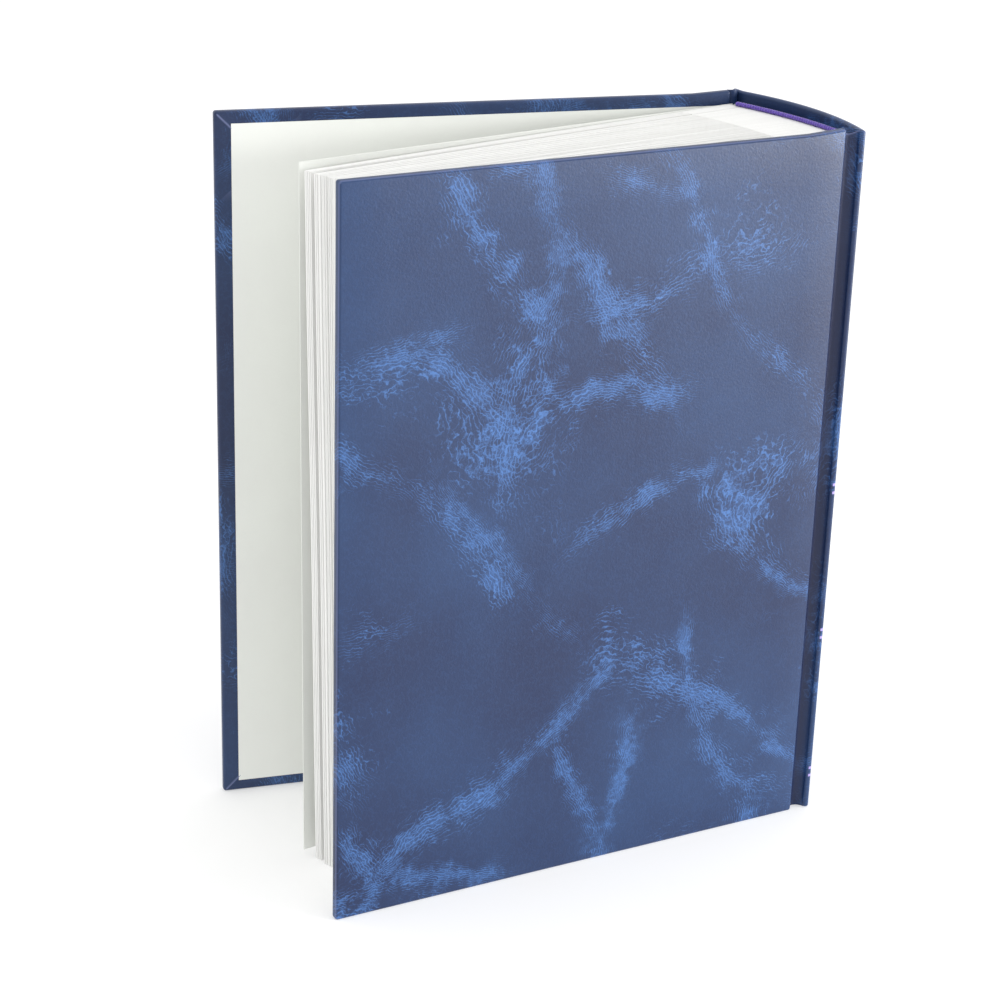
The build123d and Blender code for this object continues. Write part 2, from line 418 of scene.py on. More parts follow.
# Each set of veins: the direction that it is counted along, the spacing of its bands in
# millimetres, how far it bends, and the step that makes its noise its own
VEIN_SETS = (
    ((0.84, 0.55, 0.52), 60, 1.3, (0.31, 0.12, 0.07)),
    ((-0.36, -0.55, 0.92), 64, 1.3, (1.73, 0.44, 0.92)),
    ((0.72, 0.50, 0.66), 82, 1.6, (2.91, 1.30, 0.25)),
    ((0.97, 0.60, 0.12), 88, 1.6, (0.77, 2.10, 1.55)),
    ((0.30, 0.62, 0.95), 74, 1.5, (3.35, 0.18, 2.20)),
)
FIBRE_MM = 0.85  # spacing of the fibres; real ones are finer, and would not show
BOW_MM, PATCH_MM, DRIFT_MM = 105, 58, 15  # sizes of a band's bends, its gaps and its strands
FRAY_MM, BREAK_MM, TISSUE_MM = 8, 6.5, 3.0  # sizes of its edge's frays, breaks and fine web
GRAIN_MM, GRAIN_DEPTH_MM = 0.7, 0.17  # the pebble, drawn a little coarser than the roller's
CLOUD_MM, SHINE_MM = 60, 14  # sizes of the ground's clouds and of the lacquer's dull spots


def make_leatherette():
    """Embossed leatherette: paper printed with fibrous veins, lacquered and grained by a roller.

    The lacquer gives a satin sheen over a very fine pebble; the veins are print, so they change
    the colour and hardly the surface. Painted highlights make the rims and seams pale, and painted
    shade darkens the grooves.
    """
    material, tree, shader, place = begin_material("printed_leatherette", 0.42, 0.45)
    tones = colours()
    smooth_step = {"interpolation_type": "SMOOTHSTEP"}
    strand = {"Detail": 2.0, "Roughness": 0.55}
    shifted = add_node(tree, VECTOR, {0: place, 1: (0.5, 0.2, 0.9)}, operation="ADD")
    fine = add_node(tree, NOISE, {"Vector": place, "Scale": per(4.0), **strand})
    fine_too = add_node(tree, NOISE, {"Vector": shifted, "Scale": per(3.2), **strand})
    broken = add_node(tree, NOISE, {"Vector": place, "Scale": per(BREAK_MM)})
    broken = add_node(tree, RANGE, {"Value": broken, "From Min": 0.38, "From Max": 0.54})
    unbroken = add_node(tree, MATHS, {0: 1.15, 1: broken}, operation="SUBTRACT")
    rough = {"Detail": 4.0, "Roughness": 0.7}
    frayed = add_node(tree, NOISE, {"Vector": place, "Scale": per(FRAY_MM), **rough})
    frayed = add_node(tree, MATHS, {0: frayed, 1: 0.5}, operation="SUBTRACT")
    rough = {"Detail": 3.0, "Roughness": 0.6}
    tissue = add_node(tree, NOISE, {"Vector": place, "Scale": per(TISSUE_MM), **rough})
    tissue = distance_to_line(tree, tissue)
    tissue = add_node(tree, MATHS, {0: 0.5, 1: tissue}, operation="SUBTRACT")
    tissue = add_node(tree, RANGE, {"Value": tissue, "From Min": 0.46, "From Max": 0.5})
    veins = add_node(tree, MATHS, {0: tissue, 1: 0.06}, operation="MULTIPLY")
    for direction, spacing, bend, step in VEIN_SETS:
        own = add_node(tree, VECTOR, {0: place, 1: step}, operation="ADD")
        course = add_node(tree, VECTOR, {0: own, 1: direction}, "Value", operation="DOT_PRODUCT")
        course = add_node(tree, MATHS, {0: course, 1: per(spacing)}, operation="MULTIPLY")
        rough = {"Detail": 1.5, "Roughness": 0.45}
        bow = add_node(tree, NOISE, {"Vector": own, "Scale": per(BOW_MM), **rough})
        course = add_node(tree, MATHS, {0: bow, 1: bend, 2: course}, operation="MULTIPLY_ADD")
        away = distance_to_line(tree, course)
        away = add_node(tree, MATHS, {0: frayed, 1: 0.34, 2: away}, operation="MULTIPLY_ADD")
        body = {"Value": away, "From Min": 0.14, "From Max": -0.02}
        body = add_node(tree, RANGE, body, **smooth_step)
        lasting = add_node(tree, NOISE, {"Vector": own, "Scale": per(PATCH_MM), "Detail": 1.0})
        lasting = {"Value": lasting, "From Min": 0.38, "From Max": 0.58}
        lasting = add_node(tree, RANGE, lasting, **smooth_step)
        body = add_node(tree, MATHS, {0: body, 1: lasting}, operation="MULTIPLY")
        rough = {"Detail": 4.0, "Roughness": 0.62}
        wide = add_node(tree, NOISE, {"Vector": own, "Scale": per(DRIFT_MM), **rough})
        per_band = spacing / FIBRE_MM
        lines = fibre_lines(tree, course, wide, fine, per_band, 8.0, 0.19)
        lines = add_node(tree, MATHS, {0: lines, 1: broken}, operation="MULTIPLY")
        crossing = fibre_lines(tree, course, wide, fine_too, 0.8 * per_band, -9.0, 0.17)
        crossing = add_node(tree, MATHS, {0: crossing, 1: unbroken}, operation="MULTIPLY")
        web = add_node(tree, MATHS, {0: lines, 1: crossing}, operation="MAXIMUM")
        web = {0: tissue, 1: 0.5, 2: web}
        web = add_node(tree, MATHS, web, operation="MULTIPLY_ADD", use_clamp=True)
        thinned = add_node(tree, MATHS, {0: body, 1: 1.3, 2: web}, operation="MULTIPLY_ADD")
        patch = add_node(tree, RANGE, {"Value": thinned, "From Min": 1.0, "From Max": 2.3})
        veins = add_node(tree, MATHS, {0: veins, 1: patch}, operation="MAXIMUM")
    clouds = add_node(tree, NOISE, {"Vector": place, "Scale": per(CLOUD_MM), "Detail": 3.0})
    clouds = add_node(tree, RANGE, {"Value": clouds, "From Min": 0.35, "From Max": 0.68})
    # Shares of painted shade in the grooves and of painted highlight on rims and seams, carried by
    # the pieces
    sunk = add_node(tree, ATTRIBUTE, {}, "Fac", attribute_name="sunk")
    rubbed = add_node(tree, ATTRIBUTE, {}, "Fac", attribute_name="rubbed")
    base = tones.deep
    print_over = ((clouds, tones.navy), (veins, tones.vein))
    # Painted shade and painted highlight, laid over the print
    painted_light = ((sunk, tones.groove), (rubbed, tones.rubbed))
    for share, tone in print_over + painted_light:
        inputs = {SHARE: share, FIRST: base, SECOND: tone}
        base = add_node(tree, MIX, inputs, MIXED, data_type="RGBA")
    rough = {"Detail": 3.0, "Roughness": 0.62}
    grain = add_node(tree, NOISE, {"Vector": place, "Scale": per(GRAIN_MM), **rough})
    finish_material(tree, shader, base, grain, GRAIN_DEPTH_MM, 0.36)
    shine = add_node(tree, NOISE, {"Vector": place, "Scale": per(SHINE_MM)})
    shine = {"Value": shine, "From Min": 0.2, "From Max": 0.8, "To Min": 0.38, "To Max": 0.46}
    tree.links.new(add_node(tree, RANGE, shine), shader.inputs["Roughness"])
    return material


def make_paper(name, tone, fibre_mm, tooth_mm, tint=None):
    """Uncoated paper or card: cloudy look-through, felt-side tooth, no shine."""
    material, tree, shader, place = begin_material(name, 0.85, 0.25)
    cloud = add_node(tree, NOISE, {"Vector": place, "Scale": per(24), "Detail": 3.0})
    cloud = {"Value": cloud, "From Min": 0.3, "From Max": 0.75, "To Max": 0.35}
    rough = {"Detail": 3.0, "Roughness": 0.65}
    fibres = add_node(tree, NOISE, {"Vector": place, "Scale": per(fibre_mm), **rough})
    flecks = {"Value": fibres, "From Min": 0.5, "From Max": 0.75, "To Max": 0.18}
    shares = [add_node(tree, RANGE, cloud), add_node(tree, RANGE, flecks)]
    if tint:
        shares.append(add_node(tree, ATTRIBUTE, {}, "Fac", attribute_name=tint))
    base = getattr(colours(), tone)
    for share in shares:
        inputs = {SHARE: share, FIRST: base, SECOND: colours().leaf_edge}
        base = add_node(tree, MIX, inputs, MIXED, data_type="RGBA")
    finish_material(tree, shader, base, fibres, tooth_mm, 0.4)
    return material


FILAMENT_MM, WEAR_MM = 0.45, 1.2  # sizes of the silk's filaments and of the foil's worn spots
PULP_MM, LAID_MM = 0.8, 0.9  # sizes of the board's flecks, and of the kraft's fibres across them


def make_silk():
    """Dyed silk floss: twisted filaments with a soft sheen along the turn."""
    material, tree, shader, place = begin_material("dyed_silk", 0.42)
    shader.inputs["Sheen Weight"].default_value = 0.3
    twist = add_node(tree, NOISE, {"Vector": place, "Scale": per(FILAMENT_MM)})
    share = add_node(tree, RANGE, {"Value": twist, "From Min": 0.35, "From Max": 0.7})
    inputs = {SHARE: share, FIRST: colours().silk_shade, SECOND: colours().silk}
    base = add_node(tree, MIX, inputs, MIXED, data_type="RGBA")
    finish_material(tree, shader, base, twist, 0.05, 0.5)
    return material


def make_foil():
    """Hot-stamped pigment foil: a thin bright film, a little worn where it rubs."""
    material, tree, shader, place = begin_material("stamped_foil", 0.25)
    shader.inputs["Metallic"].default_value = 0.35
    worn = add_node(tree, NOISE, {"Vector": place, "Scale": per(WEAR_MM), "Detail": 3.0})
    share = add_node(tree, RANGE, {"Value": worn, "From Min": 0.62, "From Max": 0.72})
    inputs = {SHARE: share, FIRST: colours().foil, SECOND: colours().navy}
    base = add_node(tree, MIX, inputs, MIXED, data_type="RGBA")
    finish_material(tree, shader, base, worn, 0.02, 0.2)
    return material


def make_grey_board():
    """Grey board: pressed waste paper, flecked and dull."""
    material, tree, shader, place = begin_material("pressed_grey_board", 0.9, 0.2)
    rough = {"Detail": 4.0, "Roughness": 0.7}
    flecks = add_node(tree, NOISE, {"Vector": place, "Scale": per(PULP_MM), **rough})
    flecks = add_node(tree, RANGE, {"Value": flecks, "From Min": 0.55, "From Max": 0.72})
    inputs = {SHARE: flecks, FIRST: colours().grey_board, SECOND: colours().kraft}
    base = add_node(tree, MIX, inputs, MIXED, data_type="RGBA")
    finish_material(tree, shader, base, flecks, 0.05, 0.5)
    return material


def make_kraft():
    """Brown kraft paper: long fibres laid one way."""
    material, tree, shader, place = begin_material("kraft_paper", 0.8, 0.3)
    laid = add_node(tree, "ShaderNodeMapping", {"Vector": place, "Scale": (1.0, 1.0, 0.25)})
    rough = {"Detail": 4.0, "Roughness": 0.65}
    fibres = add_node(tree, NOISE, {"Vector": laid, "Scale": per(LAID_MM), **rough})
    share = add_node(tree, RANGE, {"Value": fibres, "From Min": 0.4, "From Max": 0.7})
    inputs = {SHARE: share, FIRST: colours().kraft, SECOND: colours().grey_board}
    base = add_node(tree, MIX, inputs, MIXED, data_type="RGBA")
    finish_material(tree, shader, base, fibres, 0.05, 0.5)
    return material


def make_weave(name, tone, pitch_mm):
    """Plain-woven thread: two waves at right angles, one thread apart."""
    material, tree, shader, place = begin_material(name, 0.8, 0.3)
    shader.inputs["Sheen Weight"].default_value = 0.2
    wave = {"Vector": place, "Scale": per(pitch_mm) / 20, "Distortion": 0.6, "Detail": 1.0}
    rows = [
        add_node(tree, "ShaderNodeTexWave", wave, "Fac", bands_direction=direction)
        for direction in ("Y", "Z")
    ]
    weave = add_node(tree, MATHS, {0: rows[0], 1: rows[1]}, operation="MAXIMUM")
    inputs = {SHARE: weave, FIRST: colours().kraft, SECOND: getattr(colours(), tone)}
    base = add_node(tree, MIX, inputs, MIXED, data_type="RGBA")
    finish_material(tree, shader, base, weave, 0.15, 0.6)
    return material


def make_sweep():
    """Matt white seamless paper over a lit table, which keeps its shadows pale."""
    material, tree, shader, place = begin_material("seamless_paper", 0.9, 0.1)
    cloud = add_node(tree, NOISE, {"Vector": place, "Scale": per(400)})
    share = add_node(tree, RANGE, {"Value": cloud, "To Max": 0.05})
    inputs = {SHARE: share, FIRST: colours().floor, SECOND: colours().endpaper}
    base = add_node(tree, MIX, inputs, MIXED, data_type="RGBA")
    finish_material(tree, shader, base, cloud, 0.1, 0.1)
    shader.inputs["Emission Color"].default_value = linear("#ffffff")
    shader.inputs["Emission Strength"].default_value = 0.35  # lit from behind, as a light table is
    return material


MAKERS = {
    "leatherette": make_leatherette,
    "endpaper": lambda: make_paper("wove_endpaper", "endpaper", 0.7, 0.03),
    "leaf": lambda: make_paper("album_card", "leaf", 0.6, 0.04, "leaf_tone"),
    "guard": lambda: make_paper("guard_card", "guard", 0.6, 0.04),
    "silk": make_silk,
    "foil": make_foil,
    "board": make_grey_board,
    "kraft": make_kraft,
    "mull": lambda: make_weave("cotton_mull", "mull", 0.9),
    "thread": lambda: make_weave("linen_thread", "thread", 0.5),
    "sweep": make_sweep,
}
made_materials = {}


def material(name):
    """A material by its short name, made the first time that it is asked for."""
    if name not in made_materials:
        made_materials[name] = MAKERS[name]()
    return made_materials[name]


# Places on the covers and the two curves of the binding


def cover_place(side):
    """A cover's own axes: X to the fore-edge, Y into the board, Z along it, from its hinge edge."""
    mount_name = "back_cover_rest" if side == "back" else "front_cover_face"
    mount = next(m for m in frame["record"]["mounts"] if m["name"] == mount_name)
    out = Vector(mount["axis"])
    fore = Vector((-out.y, out.x, 0)) if side == "front" else Vector((out.y, -out.x, 0))
    middle = Vector(mount["pos_m"])
    columns = (fore, -out, fore.cross(-out))
    turn = Matrix(columns).transposed().to_4x4()
    return Matrix.Translation(middle - fore * COVER.x / 2) @ turn


def head_sign(side):
    """Which way the head lies along a cover's own Z axis."""
    return 1 if side == "front" else -1


class Arc:
    """The plan arc that a curved strip follows: centre, middle radius and end angles."""

    def __init__(self, outer_node, ends_node):
        points = np.array([v.co[:2] for v in frame["nodes"][outer_node].data.vertices])
        fit = np.c_[2 * points, np.ones(len(points))]
        x, y, rest = np.linalg.lstsq(fit, (points**2).sum(axis=1), rcond=None)[0]
        self.centre = Vector((x, y, 0))
        self.radius = math.sqrt(rest + x * x + y * y)
        ends = np.array([v.co[:2] for v in frame["nodes"][ends_node].data.vertices])
        angles = np.arctan2(ends[:, 1] - y, ends[:, 0] - x)
        self.low, self.high = float(angles.min()), float(angles.max())

    def spoke(self, point):
        """The way in plan from the centre to a point."""
        return Vector((point.x, point.y, 0)) - self.centre

    def angle(self, point):
        """The angle at which a point lies."""
        return math.atan2(point.y - self.centre.y, point.x - self.centre.x)

    def at(self, angle, radius, z=0.0):
        """A point on the arc's spoke."""
        return self.centre + Vector((math.cos(angle) * radius, math.sin(angle) * radius, z))


CASE = Arc("spine_rules", "spine_card")
BLOCK = Arc("mull", "head_band")
SPINE_HALF = 0.95 * MM  # half the spine's thickness over its cloth
SPINE_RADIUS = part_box("spine_cloth")[1].x - CASE.centre.x - SPINE_HALF


# The covers


def mitre_lines():
    """Planes across the two fore corners, along the mitre and just beside it."""
    beside = 0.45 * MM
    for sign in (-1, 1):
        normal = Vector((1, 0, -sign)).normalized()
        corner = Vector((COVER.x, 0, sign * HEIGHT / 2))
        for shift in (-beside, 0.0, beside):
            yield corner + normal * shift, normal


def make_cover_skin(side):
    """The covering of one board, rounded over its edges, turned in and mitred at the corners."""
    size = sizes()
    half = HEIGHT / 2
    radius = size.edge_radius
    turn = size.turn_in
    piece = begin_box(f"{side}_covering", (0, 0, -half), (COVER.x, COVER.y, half))
    edit(piece)
    bpy.ops.mesh.select_all(action="SELECT")
    bpy.ops.mesh.bevel(offset=radius, segments=5, affect="EDGES")
    cut_rows(0, [COVER.x - turn] + spaced(radius, COVER.x - turn, 12))
    cut_rows(2, [half - turn, turn - half] + spaced(turn - half, half - turn, 15))
    for point, normal in mitre_lines():
        pick(
            "faces",
            lambda f: f.normal.y > 0.99
            and f.calc_center_median().x > COVER.x - turn
            and abs(f.calc_center_median().z) > half - turn,
        )
        bpy.ops.mesh.bisect(plane_co=point, plane_no=normal)
    pick(
        "verts",
        lambda v: v.co.y > COVER.y - NEAR
        and abs((COVER.x - v.co.x) - (half - abs(v.co.z))) < NEAR
        and COVER.x - v.co.x < turn - NEAR,
    )
    bpy.ops.transform.translate(value=(0, size.mitre_ridge, 0))

    def uncovered(face):
        middle = face.calc_center_median()
        between_turn_ins = abs(middle.z) < half - turn
        window = face.normal.y > 0.99 and middle.x < COVER.x - turn
        hinge_end = middle.x < radius and middle.y > COVER.y - radius + NEAR
        return between_turn_ins and (window or hinge_end)

    pick("faces", uncovered)
    bpy.ops.mesh.delete(type="FACE")
    finish_edit()

    head = head_sign(side)
    peak = 4 * MM  # the covering rises to the joint's lip over this

    def settle_cloth(co):
        wave = size.cover_wave * wander(co, 60, 3.0 if side == "back" else 8.0)
        at_end = ease(1 - co.x / peak) * ease((co.z * head - half + peak) / peak)
        return Vector((0, wave, head * size.joint_lip * at_end))

    # Painted highlight: the mitre seams and the middle of the rounded rims get the pale colour
    def rubbed(co):
        seam = abs((COVER.x - co.x) - (half - abs(co.z)))
        if seam < NEAR and co.y > COVER.y - NEAR and COVER.x - co.x < turn + NEAR:
            return 0.6
        at_rim = min(co.x, COVER.x - co.x, half - abs(co.z)) < 0.75 * radius
        return 0.35 if at_rim and 0.2 * radius < co.y < 0.8 * radius else 0.0

    paint(piece, "rubbed", rubbed)
    move_vertices(piece, settle_cloth)
    thicken(piece, size.skin)
    node, body = f"{side}_cover_cloth", f"{side}_cover"
    finish_piece(piece, "leatherette", node, body, cover_place(side))


def make_board(side):
    """One grey board, its edges eased so that the covering lies over it without a ridge."""
    size = sizes()
    gap, inset, half = 0.05 * MM, 0.5 * MM, HEIGHT / 2
    low = (inset, size.skin + gap, inset - half)
    high = (COVER.x - inset, COVER.y - size.skin - gap, half - inset)
    piece = begin_box(f"{side}_grey_board", low, high)
    edit(piece)
    bpy.ops.mesh.select_all(action="SELECT")
    bpy.ops.mesh.bevel(offset=0.35 * MM, segments=2, affect="EDGES")
    finish_edit()
    node, body = f"{side}_board", f"{side}_cover"
    finish_piece(piece, "board", node, body, cover_place(side))


def make_pastedown(side):
    """The pasted endpaper: it lies on the turn-ins and sinks to the board between them."""
    size = sizes()
    half = HEIGHT / 2
    low = Vector((HINGE_MARGIN, 0, END_MARGIN - half))
    high = Vector((COVER.x - FORE_MARGIN, 0, half - END_MARGIN))
    middle = (low + high) / 2
    piece = begin_upright(f"{side}_pasted_endpaper", high.x - low.x, high.z - low.z, middle)
    ridge = COVER.x - size.turn_in
    soften = 3.5 * MM  # half the width of the step over a turn-in's edge
    edit(piece)
    cut_rows(0, [ridge - soften, ridge, ridge + soften])
    cut_rows(0, spaced(low.x, ridge - soften, 10))
    for sign in (-1, 1):
        edge = sign * (half - size.turn_in)
        cut_rows(2, [edge - soften, edge, edge + soften])
    cut_rows(2, spaced(-half + size.turn_in + soften, half - size.turn_in - soften, 12))
    finish_edit()
    sink = 0.12 * MM  # the filling between the turn-ins leaves hardly a step
    proud = 0.012 * MM  # the paste under the paper

    def lie_down(co):
        inside = min(ridge - co.x, half - size.turn_in - abs(co.z))
        sunk = ease((inside + soften) / (2 * soften))
        level = COVER.y + proud - sunk * sink
        return Vector((0, level + size.paper + 0.03 * MM * wander(co, 35, 5.0), 0))

    move_vertices(piece, lie_down)
    edit(piece)
    bpy.ops.mesh.select_all(action="SELECT")
    bpy.ops.mesh.normals_make_consistent(inside=False)
    finish_edit()
    if piece.data.polygons[0].normal.y < 0:
        piece.data.flip_normals()
    thicken(piece, size.paper)
    node, body = f"{side}_pastedown", f"{side}_cover"
    finish_piece(piece, "endpaper", node, body, cover_place(side))


# The joints between covers and spine


HINGE_TUCK = Vector((0.4 * MM, 0.7 * MM, 0))  # where a joint's cloth starts, on the cover's axes
GROOVE_DEPTH = {"back": 2.2 * MM, "front": 1.5 * MM}
PAPER_DIP = {"back": 0.75 * MM, "front": 1.15 * MM}  # how far the paper over it sags


def joint_line(side):
    """A joint's chord in plan, from the cover's hinge edge to the spine, and its depth's way."""
    place = cover_place(side)
    place.translation.z = 0
    angle = CASE.low if side == "back" else CASE.high
    first = place @ HINGE_TUCK
    last = CASE.at(angle, SPINE_RADIUS - 0.8 * SPINE_HALF)
    across = last - first
    inward = 1 if side == "back" else -1
    return first, across, Vector((-across.y, across.x, 0)).normalized() * inward


def make_groove_strip(name, side, margin, start, sink, dips):
    """An upright strip into a joint's groove, from a start in the cover's own axes.

    It ends beside the spine's shoulder, sunk under the covering there, and dips between.
    """
    first, across, depth = joint_line(side)
    if start is not None:
        last = first + across + depth * sink
        place = cover_place(side)
        place.translation.z = 0
        first = place @ Vector(start)
        across = last - first
    turn = math.atan2(across.y, across.x)
    middle = first + across / 2 + Vector((0, 0, HEIGHT / 2))
    piece = begin_upright(name, across.length, HEIGHT - 2 * margin, middle, turn)
    edit(piece)
    for part in (0.015, 0.04, 0.08, 0.13, *spaced(0.13, 0.87, 9), 0.87, 0.92, 0.96, 0.985):
        cut_at(first + across * part, across.normalized())
    low, high = margin, HEIGHT - margin
    fine = [0.7 * MM * step for step in range(1, 8)]
    cut_rows(2, [low + f for f in fine] + [high - f for f in fine])
    cut_rows(2, spaced(low + 5 * MM, high - 5 * MM, 12))
    finish_edit()

    def dip(co):
        t = min(max((co - first).dot(across) / across.length_squared, 0.0), 1.0)
        return depth * dips * math.sin(math.pi * t) ** 0.62

    move_vertices(piece, dip)
    facing = sum((p.normal * p.area for p in piece.data.polygons), Vector())
    if facing.dot(depth) > 0:
        piece.data.flip_normals()
    return piece


def make_joint(side):
    """The cloth and the paper that bend at one joint."""
    size = sizes()
    first, across, depth = joint_line(side)
    cloth = make_groove_strip(f"{side}_joint_covering", side, 0.0, None, 0.0, GROOVE_DEPTH[side])
    half_fold = depth * size.joint_fold * 0.5
    for rim, inside in ((HEIGHT, -size.turn_in), (0.0, size.turn_in)):
        edit(cloth)
        pick("verts", lambda v: abs(v.co.z - rim) < NEAR)
        for step in (half_fold, half_fold, (0, 0, inside)):
            bpy.ops.mesh.extrude_edges_move(TRANSFORM_OT_translate={"value": step})
        finish_edit()

    def spot_on(co):
        """Share of the way across, rise of the groove's arch, and 0 to 1 through the layers."""
        flat = Vector((co.x, co.y, 0)) - first
        t = min(max(flat.dot(across) / across.length_squared, 0.0), 1.0)
        arch = math.sin(math.pi * t)
        return t, arch, (flat.dot(depth) - GROOVE_DEPTH[side] * arch**0.62) / size.joint_fold

    def gather(co):
        t, arch, layer = spot_on(co)
        near_head = ease(1 - (HEIGHT - co.z) / (5 * MM))
        lip = size.joint_lip * (1 - t) ** 3
        if side == "front":
            lip = size.joint_lip * (1 - 0.45 * t + 0.2 * arch)
            return Vector((0, 0, near_head * lip))
        sunk = size.joint_dip * (1 - ease(layer) + 3.84 * max(layer, 0) * max(1 - layer, 0))
        back = depth * (size.joint_pocket * ease(layer) * arch * near_head)
        return back + Vector((0, 0, near_head * (lip - sunk * arch**0.8)))

    # Painted highlight along the near rim of the cloth at the head
    def rubbed(co):
        layer = spot_on(co)[2]
        beside_rim = 1 - min(abs(layer - 0.08) * 5, 1)
        return 0.95 * beside_rim * ease(1 - (HEIGHT - co.z) / (0.6 * MM))

    # Painted shade in the groove: darkest at its middle, fading through the turned-in layers,
    # stronger on the back joint
    def sunk(co):
        _, arch, layer = spot_on(co)
        return (0.75 if side == "back" else 0.35) * arch**0.7 * (1 - ease(1.6 * layer))

    paint(cloth, "rubbed", rubbed)
    paint(cloth, "sunk", sunk)
    move_vertices(cloth, gather)
    on_board = (HINGE_MARGIN + 0.2 * MM, COVER.y + 0.12 * MM, 0)
    sink = size.joint_fold + 0.3 * MM
    name = f"{side}_joint_endpaper"
    paper = make_groove_strip(name, side, END_MARGIN, on_board, sink, PAPER_DIP[side])
    for piece, thickness, finish, slot, kind in (
        (cloth, 0.45 * size.joint_fold, "leatherette", "covering", "cloth"),
        (paper, size.paper, "endpaper", "endpaper", "paper"),
    ):
        thicken(piece, thickness, even=False)
        finish_piece(piece, finish, f"{side}_joint_{kind}", angle=60)
        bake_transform(piece)


# The spine


def make_spine_skin():
    """The covering of the hollow back, rounded at its rims and turned in at head and tail."""
    size = sizes()
    half, middle_radius = SPINE_HALF, SPINE_RADIUS
    wall = 2 * half
    reach = half / middle_radius
    low, high = CASE.low - reach, CASE.high + reach
    start = CASE.at(low, middle_radius, HEIGHT / 2)
    piece = begin_upright("spine_covering", wall, HEIGHT, start, low)
    sweep(piece, (36, high - low, CASE.centre), axis=-1)
    edit(piece)
    pick("edges", lambda e: len(e.link_faces) == 2 and e.calc_face_angle() > math.radians(60))
    bpy.ops.mesh.bevel(offset=0.88 * half, segments=5, affect="EDGES")
    turn = size.spine_turn_in
    cut_rows(2, [turn, HEIGHT - turn] + spaced(turn, HEIGHT - turn, 10))
    rings = (3 * MM, 7 * MM, 11 * MM)  # finer rows near the ends, for the creases there
    cut_rows(2, [*rings, *(HEIGHT - ring for ring in rings)])

    def uncovered(face):
        middle = face.calc_center_median()
        inside = CASE.spoke(middle).length < middle_radius - half + 0.05 * MM
        along_card = CASE.low < CASE.angle(middle) < CASE.high
        return inside and along_card and turn < middle.z < HEIGHT - turn

    pick("faces", uncovered)
    bpy.ops.mesh.delete(type="FACE")
    finish_edit()

    def crease(co):
        spoke = CASE.spoke(co)
        inner = ease((middle_radius - spoke.length) / half)
        near_end = ease(1 - (min(co.z, HEIGHT - co.z)) / turn)
        return spoke.normalized() * (-0.12 * MM * inner * near_end * (1 + wander(co, 9, 2.0)))

    move_vertices(piece, crease)

    def peak(co):
        beside = ease(1 - (high - CASE.angle(co)) * middle_radius / (4 * MM))
        return Vector((0, 0, 0.5 * size.joint_lip * beside * ease(1 - (HEIGHT - co.z) / (5 * MM))))

    # Painted highlight along the outer rim at the head
    def rubbed(co):
        outward = CASE.spoke(co).length - middle_radius
        at_head = ease(1 - (HEIGHT - co.z) / (0.8 * MM))
        return 0.35 * at_head * ease(1 - abs(outward - 0.3 * half) / (0.9 * half))

    paint(piece, "rubbed", rubbed)
    move_vertices(piece, peak)
    thicken(piece, size.skin)
    finish_piece(piece, "leatherette", "spine_cloth", "root")


def make_rules():
    """The stamped rules: thin films that lie on the spine and run round both its shoulders."""
    heights = sorted({round(v.co.z, 5) for v in frame["nodes"]["spine_rules"].data.vertices})
    size = sizes()
    film, round_shoulder = 0.12 * MM, math.radians(100)
    shoulders = [CASE.at(angle, SPINE_RADIUS) for angle in (CASE.high, CASE.low)]
    rules = []
    for low, high in zip(heights[::2], heights[1::2]):
        angle = CASE.high + round_shoulder
        spoke = Vector((math.cos(angle), math.sin(angle), 0)) * SPINE_HALF
        start = shoulders[0] + spoke + Vector((0, 0, (low + high) / 2 + size.rule_rise))
        rule = begin_upright("rule", film, high - low, start, angle)
        sweep(
            rule,
            (6, round_shoulder, shoulders[0]),
            (36, CASE.high - CASE.low, CASE.centre),
            (6, round_shoulder, shoulders[1]),
            axis=1,
        )
        rules.append(rule)
    take(rules[0])
    for rule in rules[1:]:
        rule.select_set(True)
    bpy.ops.object.join()
    rules = bpy.context.object
    rules.name = rules.data.name = "stamped_rules"
    finish_piece(rules, "foil", "spine_rules", "root")


# The leaves


def leaf_islands(piece):
    """The separate leaves of a piece, as lists of vertex indices, back leaf first."""
    mesh = bmesh.new()
    mesh.from_mesh(piece.data)
    mesh.verts.ensure_lookup_table()
    left = set(range(len(mesh.verts)))
    islands = []
    while left:
        stack = [left.pop()]
        island = list(stack)
        while stack:
            for link in mesh.verts[stack.pop()].link_edges:
                for vertex in link.verts:
                    if vertex.index in left:
                        left.discard(vertex.index)
                        stack.append(vertex.index)
                        island.append(vertex.index)
        islands.append(island)
    mesh.free()
    points = piece.data.vertices
    islands.sort(key=lambda island: sum(points[i].co.y for i in island) / len(island))
    return islands


def stack_depth(y):
    """How far through the stack of leaves a depth lies: 0 at the back leaf, 1 at the front."""
    return min(max((y - LEAF_LOW.y) / LEAF_STACK, 0.0), 1.0)


def leaf_cockle(co, amount):
    """How far moisture has moved a leaf at a point: nothing at the back and at the root."""
    reach = ease((BLOCK_ROOT_X - co.x) / LEAF_REACH)
    wave = math.sin(math.tau * co.z / (170 * MM) + 0.9)
    wave += 0.8 * noise.noise(Vector((co.x, 0, co.z)) * per(70))
    return Vector((0, amount * reach * stack_depth(co.y) * wave, 0))


def fan_out(y):
    """How far a leaf has slipped, as a share of the fan: most in the front sections."""
    depth = stack_depth(y)
    forward = ease((depth - 0.25) / 0.55) * (1 - 0.6 * ease((depth - 0.86) / 0.14))
    return Vector((-forward, 0.06 * ease((depth - 0.3) / 0.6), 0))


